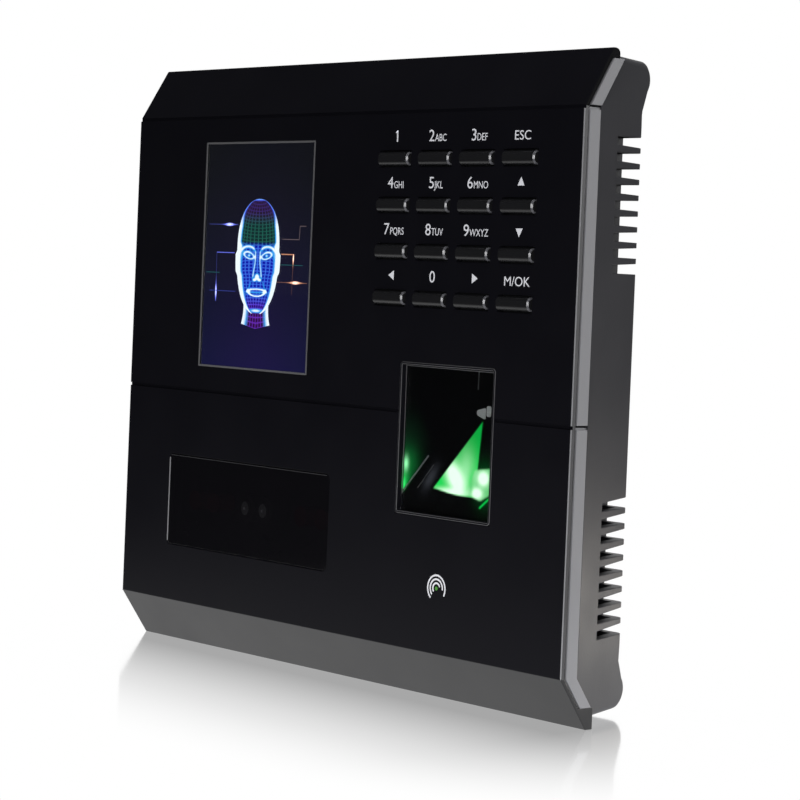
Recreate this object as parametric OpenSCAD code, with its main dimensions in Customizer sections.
// Wall-hung fingerprint and face terminal with a colour screen and a 16-key pad.
// Sub-parts are drawn with Y counted back from the front face and Z from mid-height;
// placed() then moves them so that the wall is the plane Y = 0.

/* [Body] */
// Width across the front cover
body_w = 167.5; // [160:0.5:176]
// Height of the front cover
body_h = 149; // [146:0.5:154]
// Depth from the front face to the wall
body_d = 32.2; // [32.2:0.1:36]
// Thickness of the front cover
cover_t = 1.7; // [1.5:0.1:2]
// Wall of the rear casing
wall = 2.2; // [1.8:0.1:2.6]
// How far the side walls lean in for each millimetre of depth
side_lean = 0.42; // [0.3:0.02:0.46]
// Height of the upper crease above mid-height
crease_z = 61.1; // [60:0.1:62]
// Depth of the sloping bands at top and bottom
slope_d = 8.1; // [7:0.1:9]

/* [Screen] */
// Visible width of the screen
screen_w = 43.6; // [40:0.1:45]
// Visible height of the screen
screen_h = 56; // [52:0.1:58]
// Thickness of the screen's frame line
frame_t = 0.5; // [0.4:0.1:0.8]

/* [Keypad] */
// Distance between key columns
key_pitch_x = 14.33; // [13.5:0.01:14.6]
// Distance between key rows
key_pitch_z = 10.81; // [10:0.01:11]
// Width of a key cap
key_w = 11.1; // [10:0.1:11.5]
// Height of a key cap
key_h = 3.6; // [3:0.1:4.2]
// How far a key cap stands out of the cover
key_proud = 1; // [0.6:0.1:1.4]
// How far a key moves when it is pressed
key_travel = 0.8; // [0.4:0.1:0.8]

/* [Sensor] */
// Width of the fingerprint sensor's frame
sensor_w = 32.8; // [30:0.1:34]
// Height of the fingerprint sensor's frame
sensor_h = 35.2; // [33:0.1:36]
// Depth of the glass below the front face
platen_y = 1.3; // [1:0.1:1.6]

/* [Window] */
// Width of the dark camera window
window_w = 66.2; // [62:0.1:68]
// Height of the dark camera window
window_h = 23.4; // [21:0.1:25]
// Distance between the two camera lenses
lens_gap = 7.3; // [7:0.1:9]

/* [Vents] */
// Slots in each bank of vents
vent_slots = 9; // [6:1:9]
// Distance between vent slots
vent_pitch = 3.55; // [3.4:0.05:3.7]
// Height of a vent bank's middle above and below mid-height
vent_z = 40.5; // [39:0.5:42]

/* [Wall plate] */
// Width of the wall plate
plate_w = 112; // [108:1:118]
// Height of the wall plate
plate_h = 90; // [84:1:94]
// Thickness of the wall plate
plate_t = 1.5; // [1.2:0.1:2]
// Distance between wall screw holes, side to side
wall_hole_x = 90; // [84:1:94]
// Distance between wall screw holes, up and down
wall_hole_z = 64; // [56:1:68]
// Diameter of a wall screw hole
wall_hole_d = 5; // [4.5:0.1:5.5]

/* [Hidden] */

half_w = body_w / 2;
top_z = body_h / 2;
low_crease_z = -body_h / 2 + 11.5;
lip_y = 10.2;
top_lip_z = top_z - 2.3;
low_lip_z = -top_z + 4.8;
edge_y = 1.2;
strip_y = cover_t;
casing_y = 5;
casing_top = top_z - 1;
casing_low = -top_z + 1.4;
rear_y = body_d - 4.2;
ridge_r = 4;
ridge_slope_z = 61.5;

screen_x = -31.5;
screen_z = 26.35;
key_x0 = 21;
key_z0 = 50.17;
key_gap = 0.1;
sensor_x = 42.4;
sensor_z = -14.5;
window_x = -31.6;
window_z = -37;
board_y = 17.2;
board_t = 1.6;
board_back = board_y + board_t;
boss_x = 64;
boss_z = 66;
hub_y = 12;
screw_seat_y = 22;
lug_x = 46;
lug_z = [30, -34];
lug_w = 12;
lug_t = 2;
lift = 6;
bay_z = -17;
bay_w = 60;
bay_h = 50;
socket_z = -13;
lock_y = 27;
lock_tab_z = -56;
post_x = [-54, 54];
post_z = [-50, 10, 50];
reset_x = -44;
reset_z = 2;
tamper_x = 40;
tamper_z = 6;

// Moves a sub-part from front-face depths to the wall frame
module placed() {
    translate([0, -body_d, 0]) children();
}

// Box w wide, d deep and h high, centred on x and z, starting at depth y
module slab(w, d, h, x, y, z) {
    translate([x - w / 2, y, z - h / 2]) cube([w, d, h]);
}

// Flat outline drawn in X and Z, thickened back from depth y
module sheet(x, y, z, d) {
    translate([x, y + d, z]) rotate([90, 0, 0]) linear_extrude(d) children();
}

// Side outline drawn in depth and height, stretched across width w about x
module across(w, x = 0) {
    translate([x - w / 2, 0, 0]) rotate([90, 0, 90]) linear_extrude(w) children();
}

// Round bar along Y from depth y, l long
module bar(d, l, x, y, z) {
    translate([x, y, z]) rotate([-90, 0, 0]) cylinder(d = d, h = l, $fn = 48);
}

// Rectangle with round corners, centred
module soft_rect(w, h, r) {
    square([w - 2 * r, h], center = true);
    square([w, h - 2 * r], center = true);
    for (sx = [-1, 1], sz = [-1, 1])
        translate([sx * (w / 2 - r), sz * (h / 2 - r)]) circle(r, $fn = 32);
}

// Depth of the upper sloping band at height z
function upper_slope(z) = slope_d * (z - crease_z) / (top_z - crease_z);

// Depth of the lower sloping band at height z
function lower_slope(z) = slope_d * (low_crease_z - z) / (low_crease_z + top_z);

// Side outline of the front cover, shifted back by dy
function face_line(dy, high, low) = [
    [dy + lower_slope(low), low],
    [dy, low_crease_z],
    [dy, crease_z],
    [dy + upper_slope(high), high]];

module cover_outline() {
    difference() {
        polygon(concat(face_line(0, top_z, -top_z), [[lip_y, top_z], [lip_y, -top_z]]));
        polygon(concat(face_line(cover_t, top_lip_z, low_lip_z),
            [[lip_y + 1, top_lip_z], [lip_y + 1, low_lip_z]]));
    }
}

// Groove that runs round the cover at height z
module crease(z) {
    across(body_w + 1) translate([0, z]) polygon([[-1, -0.6], [-1, 0.6], [0.45, 0.35], [0.45, -0.35]]);
}

module key_holes(w, h, y, d) {
    for (row = [0:3], col = [0:3])
        slab(w, d, h, key_x0 + col * key_pitch_x, y, key_z0 - row * key_pitch_z);
}

module front_cover() {
    color([0.06, 0.06, 0.065]) placed() difference() {
        union() {
            across(body_w) cover_outline();
            intersection() {
                across(body_w) polygon(concat(face_line(0.5, top_z, -top_z),
                    [[hub_y, top_z], [hub_y, -top_z]]));
                for (sx = [-1, 1], sz = [-1, 1]) bar(7, hub_y, sx * boss_x, 0, sz * boss_z);
            }
            for (sx = [-1, 1], sz = [-1, 1]) {
                bar(3.4, 5.4 - cover_t, 42.5 + sx * 27, cover_t, 34 + sz * 21.2);
                bar(3.6, 8.5 - cover_t, window_x + sx * 36.4, cover_t, window_z + sz * 11);
            }
        }
        crease(crease_z);
        crease(-8.4);
        for (sx = [-1, 1])
            across(2.5, sx * half_w) polygon(concat(face_line(edge_y, top_lip_z, low_lip_z),
                [[lip_y + 1, top_lip_z], [lip_y + 1, low_lip_z]]));
        slab(screen_w + 2 * frame_t, 4, screen_h + 2 * frame_t, screen_x, -1, screen_z);
        key_holes(key_w + 2 * key_gap, key_h + 2 * key_gap, -1, 4);
        slab(sensor_w, 4, sensor_h, sensor_x, -1, sensor_z);
        sheet(window_x, -1, window_z, 4) soft_rect(window_w, window_h, 1.5);
        for (sx = [-1, 1], sz = [-1, 1])
            bar(2.5, hub_y, sx * boss_x, 6.5, sz * boss_z);
    }
}

module screen_frame() {
    color([0.6, 0.6, 0.62]) placed() difference() {
        slab(screen_w + 2 * frame_t, cover_t, screen_h + 2 * frame_t, screen_x, 0, screen_z);
        slab(screen_w, 4, screen_h, screen_x, -1, screen_z);
    }
}

module screen_glass() {
    color([0.1, 0.12, 0.2, 0.6]) placed() slab(screen_w, 1, screen_h, screen_x, 0.05, screen_z);
}

module screen_panel() {
    color([0.1, 0.1, 0.25]) placed() {
        slab(screen_w, 0.65, screen_h, screen_x, 1.05, screen_z);
        slab(50, 2.6, 69, screen_x, cover_t, screen_z);
    }
}

module screen_ribbon() {
    color([0.7, 0.45, 0.15]) placed()
        slab(22, board_y - cover_t - 2.6, 0.3, screen_x, cover_t + 2.6, 4);
}

// Key cap with a retaining flange behind the cover
module key(col, row) {
    x = key_x0 + col * key_pitch_x;
    z = key_z0 - row * key_pitch_z;
    color([0.08, 0.08, 0.085]) placed() {
        slab(key_w, key_proud + cover_t + 0.1, key_h, x, -key_proud, z);
        slab(key_w + 1.4, 0.8, key_h + 1.4, x, cover_t + 0.1, z);
        bar(3, 2.4 - cover_t, x, cover_t + 0.9, z);
    }
}

module key_membrane() {
    color([0.3, 0.3, 0.32]) placed() {
        slab(58, 0.8, 46, 42.5, 5.4, 34);
        for (row = [0:3], col = [0:3])
            bar(5, 1.2, key_x0 + col * key_pitch_x, 4.2, key_z0 - row * key_pitch_z);
    }
}

module key_board() {
    color([0.1, 0.35, 0.2]) placed() slab(60, 1.2, 48, 42.5, 6.2, 34);
}

module key_ribbon() {
    color([0.7, 0.45, 0.15]) placed() slab(12, board_y - 7.4, 0.3, 42.5, 7.4, 20);
}

module sensor_frame() {
    color([0.55, 0.55, 0.57]) placed() difference() {
        slab(sensor_w, 2.4, sensor_h, sensor_x, 0, sensor_z);
        slab(sensor_w - 1.2, 4, sensor_h - 1.2, sensor_x, -1, sensor_z);
    }
}

// Six-sided glass block under the finger
module sensor_prism() {
    h = (sensor_h - 1.2) / 2;
    color([0.2, 0.4, 0.3, 0.5]) placed() translate([0, 0, sensor_z])
        across(sensor_w - 1.2, sensor_x)
            polygon([[platen_y, -h], [platen_y, h], [6, h], [11, 2], [11, -4], [5, -h]]);
}

module sensor_housing() {
    color([0.05, 0.05, 0.05]) placed() difference() {
        slab(sensor_w + 2, 14, sensor_h + 2, sensor_x, 2.4, sensor_z);
        slab(sensor_w - 1.2, 12.4, sensor_h - 1.2, sensor_x, 1.4, sensor_z);
        slab(12, 4, 12, sensor_x, 13, sensor_z + 4);
    }
}

module sensor_light_board() {
    z = sensor_z - sensor_h / 2 + 1;
    color([0.1, 0.5, 0.2]) placed() {
        slab(26, 7, 0.8, sensor_x, 6.4, z);
        for (i = [-1.5:1:1.5]) slab(2.4, 3, 1, sensor_x + i * 6, 8.4, z + 0.9);
    }
}

module sensor_imager() {
    color([0.2, 0.2, 0.22]) placed() {
        slab(12, 1.2, 12, sensor_x, 15.2, sensor_z + 4);
        bar(7, 3.4, sensor_x, 11.8, sensor_z + 4);
    }
}

module camera_window() {
    color([0.03, 0.03, 0.035]) placed()
        sheet(window_x, 0, window_z, 1.5) soft_rect(window_w - 0.2, window_h - 0.2, 1.4);
}

module camera_board() {
    color([0.08, 0.3, 0.2]) placed() slab(77, 1.2, 27, window_x, 8.5, window_z);
}

module camera(side) {
    color([0.15, 0.15, 0.17]) placed() {
        bar(7, 5, window_x + side * lens_gap / 2, 3.5, window_z);
        bar(4.4, 1.1, window_x + side * lens_gap / 2, 2.4, window_z);
    }
}

module infrared_lamps() {
    color([0.35, 0.1, 0.12]) placed() for (x = [-26, -18, 18, 26])
        bar(5, 5, window_x + x, 3.5, window_z);
}

// Light-coloured strip that shows down both sides between the cover and the casing
module frame_outline(back) {
    polygon(concat(face_line(strip_y, top_lip_z, low_lip_z),
        [[back + upper_slope(top_lip_z), top_lip_z], [back, crease_z], [back, low_crease_z],
         [back + lower_slope(low_lip_z), low_lip_z]]));
}

module mid_frame() {
    color([0.45, 0.45, 0.47]) placed() difference() {
        across(body_w) frame_outline(casing_y);
        slab(body_w - 6, 20, top_lip_z - low_lip_z - 3, 0, -1, (top_lip_z + low_lip_z) / 2);
        for (sx = [-1, 1], z = [crease_z, -8.4]) slab(0.9, 12, 0.9, sx * half_w, 0, z);
        for (sx = [-1, 1], sz = [-1, 1]) bar(7.6, 12, sx * boss_x, 0, sz * boss_z);
    }
}

module casing_profile() {
    polygon([
        [casing_y, low_crease_z], [casing_y, crease_z],
        [casing_y + upper_slope(top_lip_z), top_lip_z], [lip_y, top_lip_z], [lip_y, casing_top],
        [body_d - ridge_r, casing_top], [body_d, casing_top - ridge_r], [body_d, casing_top - ridge_r - 0.6],
        [rear_y, ridge_slope_z], [rear_y, -ridge_slope_z],
        [body_d, casing_low + ridge_r + 0.6], [body_d, casing_low + ridge_r], [body_d - ridge_r, casing_low],
        [lip_y, casing_low], [lip_y, low_lip_z], [casing_y + lower_slope(low_lip_z), low_lip_z]]);
    for (z = [casing_top - ridge_r, casing_low + ridge_r])
        translate([body_d - ridge_r, z]) circle(ridge_r, $fn = 48);
}

// Plan outline of the casing, with the side walls leaning in towards the wall
module casing_plan(inset, back) {
    half_back = half_w - inset - side_lean * (back - casing_y);
    polygon([[-half_w + inset, casing_y], [-half_back, back], [half_back, back], [half_w - inset, casing_y]]);
}

module casing_body() {
    intersection() {
        across(body_w) casing_profile();
        translate([0, 0, -top_z]) linear_extrude(body_h) casing_plan(0, body_d + 1);
    }
}

module casing_hollow() {
    intersection() {
        slab(body_w, rear_y - wall, casing_top - casing_low - 2 * wall, 0, 0, (casing_top + casing_low) / 2);
        translate([0, 0, -top_z]) linear_extrude(body_h) union() {
            casing_plan(wall + 0.2, body_d);
            translate([0, casing_y - 2]) square([body_w - 2 * wall - 0.4, 4.1], center = true);
        }
    }
}

// Slot that opens round the rear corner: wider at the wall side, with a level floor
module vent_slot(sx, z) {
    reach = 16;
    translate([0, 0, z]) across(reach, sx * (half_w - 8))
        polygon([[14.4, -0.9], [14.4, 0.9], [rear_y + 1, 1.5], [rear_y + 1, -0.9]]);
}

module vents() {
    for (sx = [-1, 1], bank = [-1, 1], i = [0:vent_slots - 1])
        vent_slot(sx, bank * vent_z + (i - (vent_slots - 1) / 2) * vent_pitch);
}

module rear_casing() {
    color([0.2, 0.2, 0.21]) placed() difference() {
        union() {
            difference() {
                casing_body();
                casing_hollow();
            }
            for (sx = [-1, 1], sz = [-1, 1])
                bar(8.4, rear_y - hub_y, sx * boss_x, hub_y, sz * boss_z);
            slab(16, 7, 9.2, 0, rear_y - wall - 4.8, casing_low + 4.6);
            for (x = post_x, z = post_z)
                bar(7, rear_y - wall - board_back, x, board_back, z);
        }
        vents();
        for (sx = [-1, 1], sz = [-1, 1]) {
            bar(3.4, 30, sx * boss_x, hub_y - 1, sz * boss_z);
            bar(6.2, 20, sx * boss_x, screw_seat_y, sz * boss_z);
        }
        for (x = post_x, z = post_z) bar(2.4, 5, x, board_back - 0.5, z);
        for (z = lug_z, sx = [-1, 1])
            slab(lug_w + 0.8, 10, lift + lug_t + 0.5, sx * lug_x, rear_y - wall - 1, z - lift / 2 - 0.2);
        slab(bay_w, 10, bay_h, 0, rear_y - wall - 1, bay_z);
        slab(14, 20, lift + 2.5, 0, lock_y - 4.5, lock_tab_z - lift / 2 + 0.25);
        translate([0, lock_y, casing_low - 1]) cylinder(d = 6.2, h = 5, $fn = 48);
        translate([0, lock_y, casing_low - 1]) cylinder(d = 4.6, h = 13, $fn = 48);
        slab(13.4, 7, 6, -45, 10.9, casing_low + 1);
        bar(3.2, 10, reset_x, rear_y - wall - 1, reset_z);
        bar(4.8, 10, tamper_x, rear_y - wall - 1, tamper_z);
    }
}

module main_board() {
    color([0.05, 0.3, 0.18]) placed() difference() {
        slab(118, board_t, 120, 0, board_y, -4);
        for (x = post_x, z = post_z) bar(3, 4, x, board_y - 1, z);
        slab(16, 6, 36, 0, board_y - 1, socket_z - 10);
    }
}

module board_screws() {
    color([0.7, 0.7, 0.72]) placed() for (x = post_x, z = post_z) {
        bar(5, 1.6, x, board_y - 1.6, z);
        bar(2.4, 5, x, board_y, z);
    }
}

module processor_shield() {
    color([0.7, 0.7, 0.72]) placed() slab(32, 2.6, 32, -32, board_y - 2.6, 36);
}

module coin_cell() {
    color([0.75, 0.75, 0.77]) placed() bar(20, 3.2, 0, board_y - 4.4, 40);
}

module coin_cell_holder() {
    color([0.15, 0.15, 0.15]) placed() difference() {
        bar(23, 4, 0, board_y - 4, 40);
        bar(20, 3.2, 0, board_y - 4.4, 40);
    }
}

module lock_relay() {
    color([0.1, 0.25, 0.5]) placed() slab(20, 6, 15, 44, board_back, -16);
}

module speaker() {
    color([0.2, 0.2, 0.2]) placed() {
        bar(24, 2.4, 42, cover_t, -50);
        bar(16, 3.2, 42, cover_t + 2.4, -50);
    }
}

module wire_headers() {
    color([0.85, 0.85, 0.8]) placed() for (i = [0:3]) {
        pins = [6, 4, 4, 8][i];
        difference() {
            slab(pins * 1.5 + 2.5, 6, 5.5, [-21, -6, 5, 20][i], board_back, 1);
            slab(pins * 1.5, 6, 3.6, [-21, -6, 5, 20][i], board_back + 1.5, 1);
        }
    }
}

module network_socket() {
    color([0.7, 0.7, 0.72]) placed() difference() {
        slab(16, 11.5, 15.8, 0, 14.3, socket_z);
        slab(11.8, 7.6, 12.8, 0, 16.3, socket_z - 2.5);
    }
}

module usb_socket() {
    z = casing_low + wall + 7.4;
    color([0.75, 0.75, 0.77]) placed() difference() {
        slab(13.2, 5.8, 14.6, -45, 11.4, z);
        slab(12.2, 4.8, 12, -45, 11.9, z - 1.8);
    }
}

module reset_switch() {
    color([0.1, 0.1, 0.1]) placed() slab(6, 3, 6, reset_x, board_back, reset_z);
}

module reset_button() {
    color([0.6, 0.1, 0.1]) placed() {
        bar(2.6, rear_y - 22.8, reset_x, 22.6, reset_z);
        bar(4.4, 0.8, reset_x, rear_y - wall - 0.9, reset_z);
    }
}

module tamper_switch() {
    color([0.1, 0.1, 0.1]) placed() slab(12.8, 4.2, 6, tamper_x, board_back, tamper_z);
}

module tamper_plunger() {
    color([0.8, 0.8, 0.8]) placed() {
        bar(4.2, body_d - plate_t - 0.3 - 24.6, tamper_x, 24.6, tamper_z);
        bar(6.4, 0.8, tamper_x, rear_y - wall - 0.9, tamper_z);
    }
}

module case_screws() {
    color([0.6, 0.6, 0.62]) placed() for (sx = [-1, 1], sz = [-1, 1]) {
        bar(5.5, 2, sx * boss_x, screw_seat_y, sz * boss_z);
        bar(2.5, screw_seat_y - 7, sx * boss_x, 7, sz * boss_z);
    }
}

// Threaded brass tube in the casing's floor
module lock_insert() {
    color([0.75, 0.6, 0.3]) placed() translate([0, lock_y, casing_low + 4.6]) difference() {
        cylinder(d = 4.6, h = 4, $fn = 48);
        translate([0, 0, -1]) cylinder(d = 3.1, h = 6, $fn = 48);
    }
}

// Screw that goes up through the casing's floor into the wall plate's tab
module locking_screw() {
    color([0.6, 0.6, 0.62]) placed() translate([0, lock_y, casing_low + 0.6]) {
        cylinder(d = 5.5, h = 2.2, $fn = 48);
        cylinder(d = 3, h = lock_tab_z - casing_low + 0.6, $fn = 48);
    }
}

module wall_plate() {
    plate_y = body_d - plate_t;
    color([0.62, 0.62, 0.64]) placed() {
        difference() {
            union() {
                sheet(0, plate_y, 0, plate_t) soft_rect(plate_w, plate_h, 6);
                slab(12, plate_t, 20, 0, plate_y, lock_tab_z + 10 - plate_t / 2);
                slab(12, body_d - lock_y + 3.6, plate_t, 0, lock_y - 3.6, lock_tab_z);
                for (z = lug_z, sx = [-1, 1]) {
                    slab(lug_w, body_d - 23.6, lug_t, sx * lug_x, 23.6, z);
                    slab(lug_w, 2, lug_t + 5, sx * lug_x, 23.6, z + 2.5);
                }
            }
            for (sx = [-1, 1], sz = [-1, 1])
                bar(wall_hole_d, 4, sx * wall_hole_x / 2, plate_y - 1, sz * wall_hole_z / 2);
            sheet(0, plate_y - 1, bay_z, 4) soft_rect(bay_w - 6, bay_h - 4, 4);
            translate([0, lock_y, lock_tab_z - 2]) cylinder(d = 3.6, h = 4, $fn = 48);
        }
    }
}

front_cover();
screen_frame();
screen_glass();
screen_panel();
screen_ribbon();
key(0, 0);  // key_1
key(1, 0);  // key_2
key(2, 0);  // key_3
key(3, 0);  // key_escape
key(0, 1);  // key_4
key(1, 1);  // key_5
key(2, 1);  // key_6
key(3, 1);  // key_up
key(0, 2);  // key_7
key(1, 2);  // key_8
key(2, 2);  // key_9
key(3, 2);  // key_down
key(0, 3);  // key_left
key(1, 3);  // key_0
key(2, 3);  // key_right
key(3, 3);  // key_menu
key_membrane();
key_board();
key_ribbon();
sensor_frame();
sensor_prism();
sensor_housing();
sensor_light_board();
sensor_imager();
camera_window();
camera_board();
camera(-1);  // camera_left
camera(1);  // camera_right
infrared_lamps();
mid_frame();
rear_casing();
main_board();
board_screws();
processor_shield();
coin_cell();
coin_cell_holder();
lock_relay();
speaker();
wire_headers();
network_socket();
usb_socket();
reset_switch();
reset_button();
tamper_switch();
tamper_plunger();
case_screws();
lock_insert();
locking_screw();
wall_plate();
